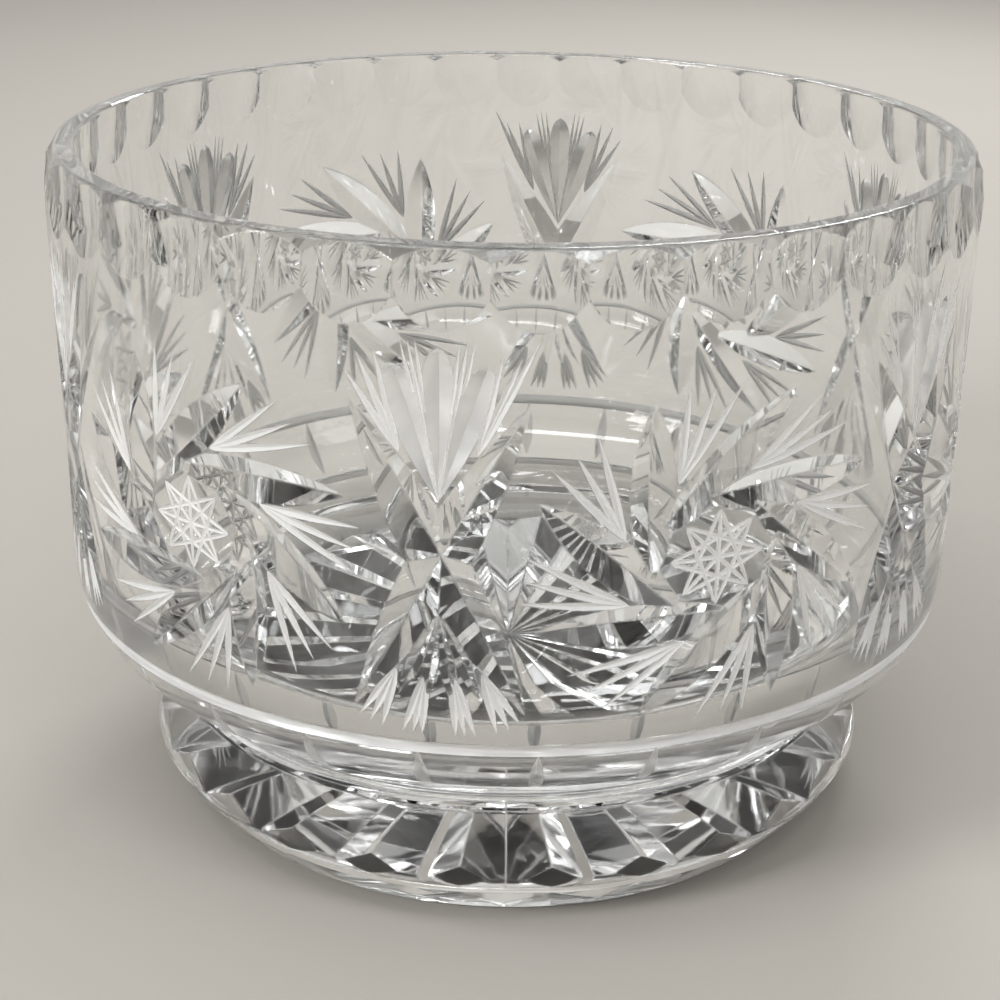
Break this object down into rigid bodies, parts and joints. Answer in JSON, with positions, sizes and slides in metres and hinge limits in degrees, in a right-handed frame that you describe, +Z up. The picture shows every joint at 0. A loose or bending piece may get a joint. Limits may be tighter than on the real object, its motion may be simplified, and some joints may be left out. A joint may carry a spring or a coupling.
{
  "type": "cut crystal bowl",
  "caption": "Deep straight-sided cut crystal bowl with a scalloped rim, pinwheel and hourglass cuts, a ringed shoulder and a heavy star-cut foot.",
  "frame": {"origin": "middle of the ring that the bowl stands on", "axes": "+Z up through the middle of the bowl; -Y is the side with an hourglass cut in its middle"},
  "size_m": [0.1991, 0.1991, 0.148],
  "materials": {
    "body_crystal": "clear crystal, cut on the wheel; wide cuts polished, thin cuts left grey",
    "foot_crystal": "clear crystal, polished outside, star cut below"
  },
  "bodies": {
    "root": {"cut_bowl": "body_crystal", "rayed_foot": "foot_crystal"}
  },
  "joints": []
}
